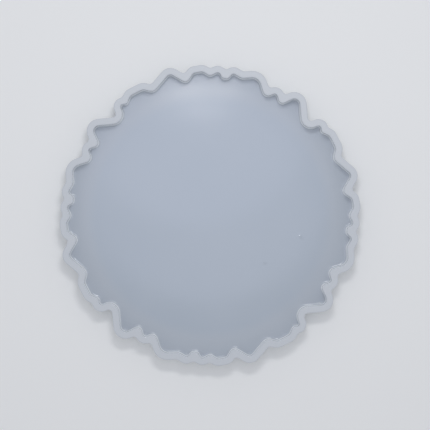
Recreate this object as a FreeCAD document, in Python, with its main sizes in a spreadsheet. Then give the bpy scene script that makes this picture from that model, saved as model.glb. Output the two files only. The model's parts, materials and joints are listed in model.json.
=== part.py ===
import FreeCAD, Part
import math
import os
from FreeCAD import Vector

# Open-topped casting mould for a wavy-edged coaster, moulded in one soft casting.
# Origin: centre of the underside. +Z is up, out of the open cavity. All sizes in millimetres.
#
# The casting is kept as three regions, one solid each, that meet face to face:
#   floor_pan  the flat floor and the root of the wall, with the fillet between them
#   side_wall  the wavy upright wall
#   rim_lip    the softly rounded top of the wall
#
# The cavity outline is one quarter motif, repeated four times round the centre. It runs like a
# belt round pegs: it bulges out round each lobe, dips in round each notch, and is straight
# between them. The outside of the wall is that outline moved outwards by the wall thickness.

REPEATS = 4
TOUCH = 1e-4
PAN_HEIGHT = "(Dims.floor_thickness + Dims.root_radius + Dims.root_land)"

DIMENSIONS = [
    ("wall_thickness", 2.2, "wall, square to the outline"),
    ("cusp_radius", 1.2, "rounding of the valleys on the outside of the wall"),
    ("overall_height", 9.0, "underside to rim"),
    ("floor_thickness", 2.5, "floor of the cavity"),
    ("root_radius", 0.8, "fillet between floor and wall, inside"),
    ("root_land", 0.2, "upright wall above the fillet that belongs to the floor pan"),
    ("lip_height", 0.8, "height of the rim region"),
    ("foot_radius", 0.5, "rounding round the underside"),
    ("rim_inner_radius", 0.35, "rounding of the rim towards the cavity"),
    ("rim_outer_radius", 0.45, "rounding of the rim towards the outside"),
]

# One quarter of the cavity outline, anticlockwise from +X: the angle of each lobe or notch in
# degrees, how far the outline reaches from the centre there, and the radius it turns on.
# A positive radius is a lobe, a negative one a notch.
TIPS = [
    (0.0, 47.35, -1.4),
    (3.5, 48.69, 1.8),
    (6.2, 48.50, 1.0),
    (10.2, 46.00, -1.5),
    (16.2, 49.55, 1.6),
    (24.2, 46.30, -2.4),
    (28.9, 48.35, 1.8),
    (33.2, 48.60, 1.8),
    (36.8, 47.20, -0.9),
    (38.7, 47.95, 1.0),
    (44.0, 44.20, -3.4),
    (52.8, 49.05, 2.0),
    (58.0, 45.00, -1.4),
    (61.4, 46.70, 1.0),
    (65.0, 44.85, -1.8),
    (71.9, 48.90, 3.0),
    (76.9, 47.70, -2.2),
    (80.4, 48.55, 1.0),
    (82.9, 46.65, -0.7),
    (84.4, 46.60, -0.7),
    (86.9, 48.40, 1.1),
]
TIP_COLUMNS = [("B", "angle"), ("C", "reach"), ("D", "curve")]


def make_sheet(doc):
    """The driving dimensions, then the table of lobes and notches, each cell with an alias."""
    sheet = doc.addObject("Spreadsheet::Sheet", "Dims")
    sheet.set("A1", "dimension")
    sheet.set("B1", "mm")
    for row, (alias, value, note) in enumerate(DIMENSIONS, start=2):
        sheet.set("A%d" % row, alias)
        sheet.set("B%d" % row, str(value))
        sheet.setAlias("B%d" % row, alias)
        sheet.set("C%d" % row, note)
    header = len(DIMENSIONS) + 3
    sheet.set("A%d" % header, "tip")
    for column, name in TIP_COLUMNS:
        sheet.set("%s%d" % (column, header), name)
    for number, tip in enumerate(TIPS, start=1):
        row = header + number
        sheet.set("A%d" % row, "tip %d" % number)
        for (column, name), value in zip(TIP_COLUMNS, tip):
            cell = "%s%d" % (column, row)
            sheet.set(cell, str(value))
            sheet.setAlias(cell, "%s_%02d" % (name, number))
    doc.recompute()
    return sheet


def read_tips(sheet):
    """Centre and signed radius of every lobe and notch round the whole outline."""
    tips = []
    for turn in range(REPEATS):
        for number in range(1, len(TIPS) + 1):
            angle, reach, curve = (
                float(sheet.get("%s_%02d" % (name, number))) for _, name in TIP_COLUMNS
            )
            direction = math.radians(angle + turn * 360.0 / REPEATS)
            distance = reach - curve
            centre = Vector(distance * math.cos(direction), distance * math.sin(direction), 0)
            tips.append((centre, curve))
    return tips


def heading_between(tip, following):
    """Direction of the straight run that leaves one tip and meets the next without a corner."""
    centre, curve = tip
    next_centre, next_curve = following
    gap = next_centre - centre
    return math.atan2(gap.y, gap.x) - math.asin((next_curve - curve) / gap.Length)


def side_point(tip, heading):
    """The point of a tip's arc where the outline has this heading."""
    centre, curve = tip
    return centre + Vector(math.sin(heading), -math.cos(heading), 0) * curve


def make_outline(sheet):
    """Closed wire of the cavity: an arc round every tip and a straight run to the next."""
    tips = read_tips(sheet)
    headings = [heading_between(tip, tips[(i + 1) % len(tips)]) for i, tip in enumerate(tips)]
    edges = []
    for i, tip in enumerate(tips):
        arriving = headings[i - 1]
        leaving = headings[i]
        turn = math.remainder(leaving - arriving, 2 * math.pi)
        start = side_point(tip, arriving)
        middle = side_point(tip, arriving + turn / 2)
        end = side_point(tip, leaving)
        edges.append(Part.Arc(start, middle, end).toShape())
        following = tips[(i + 1) % len(tips)]
        edges.append(Part.LineSegment(end, side_point(following, leaving)).toShape())
    return Part.Wire(edges)


def add_offset(doc, name, source, expression):
    """A flat outline moved outwards by a distance that the sheet gives."""
    offset = doc.addObject("Part::Offset2D", name)
    offset.Source = source
    offset.Mode = "Pipe"
    offset.Join = "Arc"
    offset.setExpression("Value", expression)
    return offset


def add_body(doc, label, base_height):
    """An empty body that stands at a height worked out from the sheet."""
    body = doc.addObject("PartDesign::Body", label)
    body.Label = label
    body.setExpression("Placement.Base.z", base_height)
    return body


def add_profile(body, name, outlines, height="0"):
    """The flat area that the outlines bound, at a height above the body's own base plane."""
    profile = body.newObject("PartDesign::SubShapeBinder", name)
    profile.Support = [(outline, ("",)) for outline in outlines]
    profile.Relative = False
    profile.MakeFace = True
    profile.setExpression("Placement.Base.z", height)
    return profile


def add_prism(body, kind, name, profile, height):
    """A Pad or a Pocket that runs straight up from its profile. It has to change the volume."""
    before = body.Shape.Volume if body.Tip else 0.0
    prism = body.newObject("PartDesign::" + kind, name)
    prism.Profile = profile
    prism.UseCustomVector = True
    prism.Direction = Vector(0, 0, 1)
    prism.setExpression("Length", height)
    body.Document.recompute()
    gained = body.Shape.Volume - before
    if (gained > 0) != (kind == "Pad"):
        raise RuntimeError("%s changed the volume by %.1f mm3" % (name, gained))
    return prism


def border_edges(shape, height, hole=False):
    """Names of the edges round the flat face at this height: its outer border or its hole's."""
    for face in shape.Faces:
        box = face.BoundBox
        if box.ZLength > TOUCH or abs(box.ZMin - height) > TOUCH:
            continue
        wires = [wire for wire in face.Wires if wire.isSame(face.OuterWire) != hole]
        border = [edge for wire in wires for edge in wire.Edges]
        return [
            "Edge%d" % number
            for number, edge in enumerate(shape.Edges, start=1)
            if any(edge.isSame(other) for other in border)
        ]
    raise RuntimeError("no flat face at height %.2f" % height)


def add_rounding(body, name, radius, height, hole=False):
    """Rounds the border of the body's flat face at a height above its own base plane."""
    base = body.Tip
    rounding = body.newObject("PartDesign::Fillet", name)
    rounding.Base = (base, border_edges(base.Shape, height, hole))
    rounding.setExpression("Radius", radius)
    body.Document.recompute()
    return rounding


def make_floor_pan(doc, sheet, cavity, outside):
    """The floor slab with the first stretch of wall, and the fillet that joins the two."""
    body = add_body(doc, "floor_pan", "0")
    slab = add_profile(body, "pan_outside", [outside])
    add_prism(body, "Pad", "pan_block", slab, PAN_HEIGHT)
    hollow = add_profile(body, "pan_inside", [cavity], "Dims.floor_thickness")
    add_prism(body, "Pocket", "pan_hollow", hollow, "Dims.root_radius + Dims.root_land")
    add_rounding(body, "root_fillet", "Dims.root_radius", float(sheet.get("floor_thickness")))
    add_rounding(body, "foot_rounding", "Dims.foot_radius", 0.0)
    return body


def make_side_wall(doc, cavity, outside):
    """The upright wavy wall between the floor pan and the rim."""
    body = add_body(doc, "side_wall", PAN_HEIGHT)
    ring = add_profile(body, "wall_section", [outside, cavity])
    add_prism(body, "Pad", "wall_block", ring, "Dims.overall_height - Dims.lip_height - " + PAN_HEIGHT)
    return body


def make_rim_lip(doc, sheet, cavity, outside):
    """The top of the wall, rounded towards the cavity and towards the outside."""
    body = add_body(doc, "rim_lip", "Dims.overall_height - Dims.lip_height")
    ring = add_profile(body, "lip_section", [outside, cavity])
    add_prism(body, "Pad", "lip_block", ring, "Dims.lip_height")
    top = float(sheet.get("lip_height"))
    add_rounding(body, "lip_outer_rounding", "Dims.rim_outer_radius", top)
    add_rounding(body, "lip_inner_rounding", "Dims.rim_inner_radius", top, hole=True)
    return body


def check(doc, bodies):
    """Stops on any feature that failed, and on any piece that isn't one sound solid."""
    for item in doc.Objects:
        if "Invalid" in item.State or "Error" in item.State:
            raise RuntimeError("%s failed: %s" % (item.Label, item.State))
    for body in bodies:
        shape = body.Shape
        if shape.isNull() or not shape.isValid() or len(shape.Solids) != 1:
            raise RuntimeError("%s is not one valid solid" % body.Label)


def main():
    doc = FreeCAD.newDocument("casting_mould")
    sheet = make_sheet(doc)
    cavity = doc.addObject("Part::Feature", "cavity_outline")
    cavity.Shape = make_outline(sheet)
    # Out by more than the wall and back again, so that the valleys outside come out rounded.
    beyond = add_offset(doc, "beyond_outline", cavity, "Dims.wall_thickness + Dims.cusp_radius")
    outside = add_offset(doc, "outside_outline", beyond, "-Dims.cusp_radius")
    doc.recompute()

    bodies = [
        make_floor_pan(doc, sheet, cavity, outside),
        make_side_wall(doc, cavity, outside),
        make_rim_lip(doc, sheet, cavity, outside),
    ]
    doc.recompute()
    check(doc, bodies)

    os.makedirs("parts", exist_ok=True)
    for body in bodies:
        body.Shape.exportStep("parts/%s.step" % body.Label)
        box = body.Shape.BoundBox
        print("%-10s %8.1f mm3, %.2f x %.2f mm, height %.2f to %.2f"
              % (body.Label, body.Shape.Volume, box.XLength, box.YLength, box.ZMin, box.ZMax))


main()
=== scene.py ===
"""Looks of the resin casting mould, seen from straight above. Lengths are in metres.

The mould is one casting of milky silicone. Its three CAD regions, the floor pan, the side wall
and the rim lip, are rebuilt as finer closed meshes with the small roundings and the slight
unevenness of a real casting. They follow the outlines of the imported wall, so they meet without
a step and can't drift from the CAD.
"""

import json
import math

import bmesh
import bpy
import numpy as np
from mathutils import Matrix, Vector, geometry, noise


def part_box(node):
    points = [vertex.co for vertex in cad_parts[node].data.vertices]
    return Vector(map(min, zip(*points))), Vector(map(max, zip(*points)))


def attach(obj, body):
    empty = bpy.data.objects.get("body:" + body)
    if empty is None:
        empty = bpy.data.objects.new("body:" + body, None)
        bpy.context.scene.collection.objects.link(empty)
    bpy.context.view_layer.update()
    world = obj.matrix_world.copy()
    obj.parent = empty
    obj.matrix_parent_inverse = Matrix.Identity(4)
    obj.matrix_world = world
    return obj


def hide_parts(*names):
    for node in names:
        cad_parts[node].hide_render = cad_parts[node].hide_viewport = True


MM = 0.001

# ---- what the frame gives ------------------------------------------------------------------
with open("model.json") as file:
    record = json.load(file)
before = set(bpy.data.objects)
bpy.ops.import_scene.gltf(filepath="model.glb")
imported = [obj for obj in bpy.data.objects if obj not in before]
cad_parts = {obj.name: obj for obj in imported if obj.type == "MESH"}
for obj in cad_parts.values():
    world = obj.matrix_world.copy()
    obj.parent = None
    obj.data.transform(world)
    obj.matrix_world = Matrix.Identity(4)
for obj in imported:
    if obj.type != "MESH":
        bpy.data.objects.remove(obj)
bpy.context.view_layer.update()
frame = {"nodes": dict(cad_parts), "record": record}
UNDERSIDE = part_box("floor_pan")[0].z
PAN_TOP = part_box("floor_pan")[1].z
LIP_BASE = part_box("rim_lip")[0].z
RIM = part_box("rim_lip")[1].z
FLOOR = next(m["pos_m"][2] for m in frame["record"]["mounts"] if m["name"] == "cavity_floor")

# ---- sizes of the finer shapes -------------------------------------------------------------
STEP = 0.28 * MM            # spacing of the points along the outlines
SOFTEN = 1.2                # spread, in points, of the smoothing that takes out the facets
ROOT_RADIUS = 0.80 * MM     # fillet between the floor and the wall
FOOT_RADIUS = 0.50 * MM     # rounding round the underside
RIM_INNER = 0.25 * MM       # rounding of the rim towards the cavity
RIM_OUTER = 0.30 * MM       # rounding of the rim towards the outside
HOLD = 0.12 * MM            # a ring this far past a rounding keeps the flat beyond it flat
GRID = 2.0 * MM             # spacing of the points across the floor and the underside
RIM_DIP = 0.06 * MM         # how far the rim wavers below its highest line
RIM_GRAIN = 14 * MM         # length of those waves
FLOOR_SAG = 0.04 * MM       # how far the floor wavers
FLOOR_GRAIN = 26 * MM       # length of those waves
FLOOR_EDGE = 6 * MM         # width of the floor's edge, over which the waves die out
BUBBLES = [(30.5 * MM, -7 * MM), (18.5 * MM, -16 * MM)]
BUBBLE_RADIUS = 0.38 * MM   # small bubbles that stand up from the floor
BUBBLE_HEIGHT = 0.06 * MM
ROOT_STEPS = 8              # levels round the fillet
EDGE_STEPS = 6              # levels round each of the other roundings
WALL_LEVELS = 6             # levels up the straight wall
SHARP_ANGLE = 50            # degrees; a crease sharper than this is shaded crisp
SAME_POINT = 1e-7           # points of the CAD mesh that are closer than this are one point
SAME_LEVEL = 1e-6           # heights that are closer than this are one height
LEAVE_HOLES_OPEN = 2        # the kind of triangulation that doesn't fill holes

# ---- colours -------------------------------------------------------------------------------
FLOOR_COLOUR = (0.434, 0.485, 0.558)    # thin silicone, a little blue
CLOUD_COLOUR = (0.446, 0.495, 0.566)    # faint clouds in it
PAINTED_EDGE_LIGHT = (0.469, 0.509, 0.569)     # painted light: the floor beside the wall, paler and greyer to lift the shade there
PAINTED_WALL_GLOW = (0.79, 0.82, 0.85)        # painted light: upright faces painted whiter, for light glowing through the wall and to lift its shade
RIM_COLOUR = (0.575, 0.602, 0.645)
PAPER_COLOUR = (0.88, 0.88, 0.88)
PAINTED_EDGE_SPAN = (38 * MM, 43 * MM)          # from the middle: the floor's colour turns to the painted light beside the wall
PAINTED_GLOW_SPAN = (0.93, 0.60)                # upward part of the normal: it turns to the painted glow of the upright faces
RIM_SPAN = (RIM - 0.4 * MM, RIM - 0.1 * MM)     # height: it turns to the rim's

# ---- finish of the silicone ----------------------------------------------------------------
SATIN = (0.08, 0.11)                    # least and most roughness of the floor and the wall
RIM_MATT = 0.35                         # more roughness on the rim
REFRACTION = 1.41
GRAIN_DEPTH = 0.02 * MM
GRAIN_STRENGTH = 0.15
NOISE_MIDDLE = (0.3, 0.7)               # the range that most of the noise falls in

# ---- the studio ----------------------------------------------------------------------------
STAGE_SIZE = 3
PAPER_ROUGHNESS = 0.9
CAMERA_HEIGHT = 0.90                    # above the rim
FRAME_WIDTH = 0.14514                   # what the camera takes in, at the height of the rim
FRAME_CENTRE = (1.67 * MM, 0.15 * MM)   # the middle of that, seen from the mould's middle
ROOM_LIGHT = 0.630
ROOM_COLOUR = (0.96, 0.985, 1.03)
COOL_LIGHT = (0.85, 0.90, 1.15)


# ---- outlines ------------------------------------------------------------------------------
def anticlockwise(ring):
    """The ring itself or, if it runs clockwise, its points in reverse."""
    following = np.roll(ring, -1, 0)
    area = np.sum(ring[:, 0] * following[:, 1] - ring[:, 1] * following[:, 0])
    return ring if area > 0 else ring[::-1]


def wall_rings(node):
    """The outer and the inner outline of the wall in plan, as anticlockwise arrays of points."""
    mesh = bmesh.new()
    mesh.from_mesh(node.data)
    bmesh.ops.remove_doubles(mesh, verts=mesh.verts, dist=SAME_POINT)
    top = max(v.co.z for v in mesh.verts)
    beside = {}
    for edge in mesh.edges:
        level = all(top - v.co.z < SAME_LEVEL for v in edge.verts)
        if level and any(abs(f.normal.z) < 0.5 for f in edge.link_faces):
            a, b = edge.verts
            beside.setdefault(a, []).append(b)
            beside.setdefault(b, []).append(a)
    rings = []
    while beside:
        start = next(iter(beside))
        ring = [start, beside[start][0]]
        while True:
            onward = next(v for v in beside[ring[-1]] if v is not ring[-2])
            if onward is start:
                break
            ring.append(onward)
        for vert in ring:
            del beside[vert]
        rings.append(anticlockwise(np.array([v.co.xy[:] for v in ring])))
    mesh.free()
    inner, outer = sorted(rings, key=lambda ring: np.abs(ring).max())
    return outer, inner


def evened(ring):
    """The same closed line with evenly spaced points, its small facets smoothed out."""
    closed = np.vstack([ring, ring[:1]])
    along = np.concatenate([[0], np.cumsum(np.linalg.norm(np.diff(closed, axis=0), axis=1))])
    count = int(round(along[-1] / STEP))
    places = np.arange(count) * along[-1] / count
    even = np.stack([np.interp(places, along, closed[:, k]) for k in range(2)], axis=1)
    reach = int(3 * SOFTEN)
    spread = np.arange(-reach, reach + 1)
    weights = np.exp(-0.5 * (spread / SOFTEN) ** 2)
    weights /= weights.sum()
    return sum(w * np.roll(even, k, 0) for w, k in zip(weights, spread))


def offset(ring, distance):
    """The ring moved outwards in plan by a distance, or inwards by a negative one."""
    along = np.roll(ring, -1, 0) - np.roll(ring, 1, 0)
    along /= np.linalg.norm(along, axis=1)[:, None]
    return ring + distance * np.stack([along[:, 1], -along[:, 0]], axis=1)


def rounding(ring, centre, radius, side, start, end, steps=EDGE_STEPS):
    """Levels round a quarter turn, from one angle to another above or below the level centre."""
    levels = []
    for k in range(steps + 1):
        angle = math.radians(start + (end - start) * k / steps)
        plan = offset(ring, side * radius * (math.cos(angle) - 1))
        levels.append((plan, centre + radius * math.sin(angle)))
    return levels


def wavering(levels):
    """The rim's levels, let down by up to the rim's dip in slow waves along the outline."""
    dipped = []
    for plan, height in levels:
        waves = np.array([noise.noise(Vector((x, y, 0)) / RIM_GRAIN) for x, y in plan])
        dipped.append((plan, height - RIM_DIP * (0.5 + 0.5 * waves)))
    return dipped


# ---- the floor -----------------------------------------------------------------------------
def inside(outline):
    """Staggered points inside an outline, none nearer to it than half a step of the grid."""
    low, high = outline.min(0), outline.max(0)
    following = np.roll(outline, -1, 0)
    points = []
    for number, y in enumerate(np.arange(low[1] + GRID / 2, high[1], GRID * math.sqrt(0.75))):
        crossing = (outline[:, 1] > y) != (following[:, 1] > y)
        a, b = outline[crossing], following[crossing]
        cuts = a[:, 0] + (y - a[:, 1]) / (b[:, 1] - a[:, 1]) * (b[:, 0] - a[:, 0])
        for x in np.arange(low[0] + GRID / 2 * (number % 2), high[0], GRID):
            within = np.count_nonzero(cuts > x) % 2 == 1
            if within and np.hypot(*(outline - (x, y)).T).min() > GRID / 2:
                points.append((x, y))
    return points


def round_bubbles(rings=5, around=12):
    """Points close together where the floor has its bubbles."""
    points = []
    for middle in BUBBLES:
        points.append(middle)
        for ring in range(1, rings + 1):
            for k in range(around):
                angle = math.tau * (k + ring / 2) / around
                distance = BUBBLE_RADIUS * ring / rings
                points.append((middle[0] + distance * math.cos(angle),
                               middle[1] + distance * math.sin(angle)))
    return points


def floor_surface(outline):
    """Points of the cavity floor: nearly flat, with slow waves and a few small bubbles."""
    reach = np.hypot(*outline.T).min()
    surface = []
    for x, y in inside(outline) + round_bubbles():
        wave = 0.5 + 0.5 * noise.noise(Vector((x, y, 0)) / FLOOR_GRAIN)
        share = np.clip((reach - math.hypot(x, y)) / FLOOR_EDGE, 0, 1)
        away = min(math.dist((x, y), middle) for middle in BUBBLES) / BUBBLE_RADIUS
        bubble = BUBBLE_HEIGHT * math.cos(min(away, 1) * math.pi / 2) ** 2
        surface.append((x, y, FLOOR - FLOOR_SAG * wave * share + bubble))
    return surface


# ---- mesh building -------------------------------------------------------------------------
class Shell:
    """Collects rings of points and the faces between them, and turns them into a piece."""

    def __init__(self):
        self.points = []
        self.faces = []

    def skin(self, levels):
        """Quads from each level to the next. Gives back the first and the last ring of points."""
        rings = []
        for plan, height in levels:
            first = len(self.points)
            heights = np.broadcast_to(height, len(plan))
            self.points += [(x, y, z) for (x, y), z in zip(plan, heights)]
            rings.append(range(first, len(self.points)))
        for lower, upper in zip(rings, rings[1:]):
            for i in range(len(lower)):
                j = (i + 1) % len(lower)
                self.faces.append((lower[i], lower[j], upper[j], upper[i]))
        return rings[0], rings[-1]

    def sheet(self, border, hole=(), within=()):
        """Triangles that fill a ring, less a hole, through the points that lie within it."""
        bounds = [list(range(len(border)))]
        if hole:
            bounds.append(list(range(len(border), len(border) + len(hole)))[::-1])
        first = len(self.points)
        self.points += within
        used = [*border, *hole, *range(first, len(self.points))]
        plan = [Vector(self.points[i][:2]) / MM for i in used]
        filled = geometry.delaunay_2d_cdt(plan, [], bounds, LEAVE_HOLES_OPEN, 1e-6)
        triangles, origins = filled[2:4]
        self.faces += [tuple(used[origins[i][0]] for i in corners) for corners in triangles]

    def build(self, name, material):
        shape = bmesh.new()
        verts = [shape.verts.new(point) for point in self.points]
        for corners in self.faces:
            shape.faces.new([verts[i] for i in corners])
        bmesh.ops.recalc_face_normals(shape, faces=shape.faces)
        mesh = bpy.data.meshes.new(name)
        shape.to_mesh(mesh)
        shape.free()
        mesh.shade_smooth()
        mesh.set_sharp_from_angle(angle=math.radians(SHARP_ANGLE))
        mesh.materials.append(material)
        piece = bpy.data.objects.new(name, mesh)
        bpy.context.scene.collection.objects.link(piece)
        return piece


# ---- the three pieces ----------------------------------------------------------------------
def make_floor(outer, inner, material):
    """The pan: underside, foot rounding, lower part of both sides, fillet and cavity floor."""
    shell = Shell()
    sole = (offset(outer, -FOOT_RADIUS - HOLD), UNDERSIDE)
    foot = rounding(outer, UNDERSIDE + FOOT_RADIUS, FOOT_RADIUS, 1, -90, 0)
    side = [(outer, UNDERSIDE + FOOT_RADIUS + HOLD), (outer, PAN_TOP)]
    root = rounding(inner, FLOOR + ROOT_RADIUS, ROOT_RADIUS, 1, 0, -90, ROOT_STEPS)
    edge = (offset(root[-1][0], -HOLD), FLOOR)
    outer_base, outer_top = shell.skin([sole, *foot, *side])
    inner_top, floor_edge = shell.skin([(inner, PAN_TOP), *root, edge])
    shell.sheet(outer_base, within=[(x, y, UNDERSIDE) for x, y in inside(sole[0])])
    shell.sheet(outer_top, hole=inner_top)
    shell.sheet(floor_edge, within=floor_surface(edge[0]))
    return shell.build("mould_floor", material)


def make_wall(outer, inner, material):
    """The straight wall that follows the scalloped outline."""
    shell = Shell()
    heights = np.linspace(PAN_TOP, LIP_BASE, WALL_LEVELS)
    outer_base, outer_top = shell.skin([(outer, z) for z in heights])
    inner_base, inner_top = shell.skin([(inner, z) for z in heights])
    shell.sheet(outer_base, hole=inner_base)
    shell.sheet(outer_top, hole=inner_top)
    return shell.build("mould_wall", material)


def make_rim(outer, inner, material):
    """The flat rim with its two rounded edges."""
    shell = Shell()
    outside = rounding(outer, RIM - RIM_OUTER, RIM_OUTER, 1, 0, 90)
    outside.append((offset(outer, -RIM_OUTER - HOLD), RIM))
    cavity_side = rounding(inner, RIM - RIM_INNER, RIM_INNER, -1, 0, 90)
    cavity_side.append((offset(inner, RIM_INNER + HOLD), RIM))
    outer_base, outer_top = shell.skin([(outer, LIP_BASE), *wavering(outside)])
    inner_base, inner_top = shell.skin([(inner, LIP_BASE), *wavering(cavity_side)])
    shell.sheet(outer_base, hole=inner_base)
    shell.sheet(outer_top, hole=inner_top)
    return shell.build("mould_rim", material)


def make_mould():
    """Builds the three pieces and puts each in the place of its CAD region."""
    outer, inner = [evened(ring) for ring in wall_rings(frame["nodes"]["side_wall"])]
    material = silicone()
    pieces = {
        "floor_pan": make_floor(outer, inner, material),
        "side_wall": make_wall(outer, inner, material),
        "rim_lip": make_rim(outer, inner, material),
    }
    for node_name, piece in pieces.items():
        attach(piece, "root")
        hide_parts(node_name)


# ---- materials -----------------------------------------------------------------------------
class Nodes:
    """Makes and links the nodes of one material."""

    def __init__(self, name):
        self.material = bpy.data.materials.new(name)
        self.material.use_nodes = True
        self.tree = self.material.node_tree
        self.shader = self.tree.nodes["Principled BSDF"]

    def make(self, kind, **inputs):
        """A node. An input is set to a number or linked to another node's output."""
        node = self.tree.nodes.new(kind)
        for name, value in inputs.items():
            self.feed(node.inputs[name.replace("_", " ")], value)
        return node

    def feed(self, socket, value):
        if isinstance(value, bpy.types.NodeSocket):
            self.tree.links.new(value, socket)
        elif isinstance(value, tuple):
            socket.default_value = (*value, 1)
        else:
            socket.default_value = value

    def maths(self, operation, *values):
        node = self.make("ShaderNodeMath")
        node.operation = operation
        for socket, value in zip(node.inputs, values):
            self.feed(socket, value)
        return node.outputs[0]

    def waves(self, scale, detail):
        """Noise fixed to the object, with about this many waves to the metre."""
        place = self.make("ShaderNodeTexCoord").outputs["Object"]
        return self.make("ShaderNodeTexNoise", Vector=place, Scale=scale, Detail=detail).outputs[0]

    def ramp(self, value, start, end, low=0.0, high=1.0):
        """Goes smoothly from low to high as the value goes from start to end."""
        node = self.make("ShaderNodeMapRange", Value=value, From_Min=start, From_Max=end,
                         To_Min=low, To_Max=high)
        node.interpolation_type = "SMOOTHSTEP"
        return node.outputs["Result"]

    def blend(self, share, low, high):
        """Goes from the colour low to the colour high as the share goes from 0 to 1."""
        node = self.make("ShaderNodeMix", Factor=share)
        node.data_type = "RGBA"
        colours = [socket for socket in node.inputs if socket.type == "RGBA"]
        self.feed(colours[0], low)
        self.feed(colours[1], high)
        return next(socket for socket in node.outputs if socket.type == "RGBA")


def silicone():
    """Milky silicone: bluish where it is thin, in the floor, whiter in the rim. The wall's upright
    faces are painted whiter and the floor beside the wall paler: painted light.
    """
    nodes = Nodes("milky_silicone")
    coordinates = nodes.make("ShaderNodeTexCoord")
    place = nodes.make("ShaderNodeSeparateXYZ", Vector=coordinates.outputs["Object"])
    facing = nodes.make("ShaderNodeSeparateXYZ", Vector=coordinates.outputs["Normal"])
    from_middle = nodes.make("ShaderNodeVectorMath")
    from_middle.operation = "LENGTH"
    nodes.feed(from_middle.inputs[0], coordinates.outputs["Object"])

    # painted light: faces turned upright are painted whiter than the floor, for light glowing
    # through the wall
    painted_wall_glow = nodes.ramp(nodes.maths("ABSOLUTE", facing.outputs["Z"]), *PAINTED_GLOW_SPAN)
    on_rim = nodes.ramp(place.outputs["Z"], *RIM_SPAN)
    # painted light: the floor is painted paler and greyer towards the wall, to lift the shade
    # beside it
    painted_edge_light = nodes.ramp(from_middle.outputs["Value"], *PAINTED_EDGE_SPAN)
    cloudy = nodes.ramp(nodes.waves(scale=28, detail=2), *NOISE_MIDDLE)
    floor = nodes.blend(painted_edge_light, nodes.blend(cloudy, FLOOR_COLOUR, CLOUD_COLOUR), PAINTED_EDGE_LIGHT)
    below_rim = nodes.blend(painted_wall_glow, floor, PAINTED_WALL_GLOW)
    nodes.feed(nodes.shader.inputs["Base Color"], nodes.blend(on_rim, below_rim, RIM_COLOUR))

    satin = nodes.ramp(nodes.waves(scale=60, detail=4), *NOISE_MIDDLE, *SATIN)
    roughness = nodes.maths("MULTIPLY_ADD", on_rim, RIM_MATT, satin)
    nodes.feed(nodes.shader.inputs["Roughness"], roughness)
    nodes.feed(nodes.shader.inputs["IOR"], REFRACTION)
    nodes.feed(nodes.shader.inputs["Specular IOR Level"], 1.0)

    grain = nodes.make("ShaderNodeBump", Strength=GRAIN_STRENGTH, Distance=GRAIN_DEPTH,
                       Height=nodes.waves(scale=900, detail=3))
    nodes.feed(nodes.shader.inputs["Normal"], grain.outputs["Normal"])
    return nodes.material


def paper():
    """Plain pale paper for the floor of the studio."""
    nodes = Nodes("pale_paper")
    nodes.feed(nodes.shader.inputs["Base Color"], PAPER_COLOUR)
    nodes.feed(nodes.shader.inputs["Roughness"], PAPER_ROUGHNESS)
    return nodes.material


# ---- stage, light and camera ---------------------------------------------------------------
def make_stage():
    bpy.ops.mesh.primitive_plane_add(size=STAGE_SIZE, location=(0, 0, UNDERSIDE))
    floor = bpy.context.object
    floor.name = "studio_floor"
    floor.data.materials.append(paper())


def lamp(name, place, size, power, colour=(1, 1, 1)):
    """An oval lamp that shines straight down."""
    data = bpy.data.lights.new(name, "AREA")
    data.shape = "ELLIPSE"
    data.size, data.size_y = size
    data.energy = power
    data.color = colour
    light = bpy.data.objects.new(name, data)
    light.location = place
    bpy.context.scene.collection.objects.link(light)


def make_lights():
    """A softbox behind the mould, a small lamp high above it and two large cool ones between.

    The last three hardly light it. Their reflections make the bright patch and the paler disc
    on the glossy floor.
    """
    lamp("softbox", (0.015, 0.124, 0.34), (0.10, 0.06), 0.235)
    lamp("high_lamp", (-0.008, 0.063, 0.50), (0.044, 0.014), 0.0050)
    lamp("overhead_lamp", (-0.003, 0.0145, 0.30), (0.113, 0.108), 0.0190, COOL_LIGHT)
    lamp("upper_lamp", (-0.0068, 0.0329, 0.34), (0.0973, 0.0747), 0.0090, COOL_LIGHT)
    world = bpy.data.worlds.new("room")
    world.use_nodes = True
    background = world.node_tree.nodes["Background"]
    background.inputs["Color"].default_value = (*ROOM_COLOUR, 1)
    background.inputs["Strength"].default_value = ROOM_LIGHT
    bpy.context.scene.world = world
    bpy.context.scene.view_settings.view_transform = "Standard"


def make_camera():
    """A camera that looks straight down from above the mould."""
    data = bpy.data.cameras.new("camera")
    data.lens = data.sensor_width * CAMERA_HEIGHT / FRAME_WIDTH
    camera = bpy.data.objects.new("camera", data)
    camera.location = (*FRAME_CENTRE, RIM + CAMERA_HEIGHT)
    bpy.context.scene.collection.objects.link(camera)
    bpy.context.scene.camera = camera


make_mould()
make_stage()
make_lights()
make_camera()
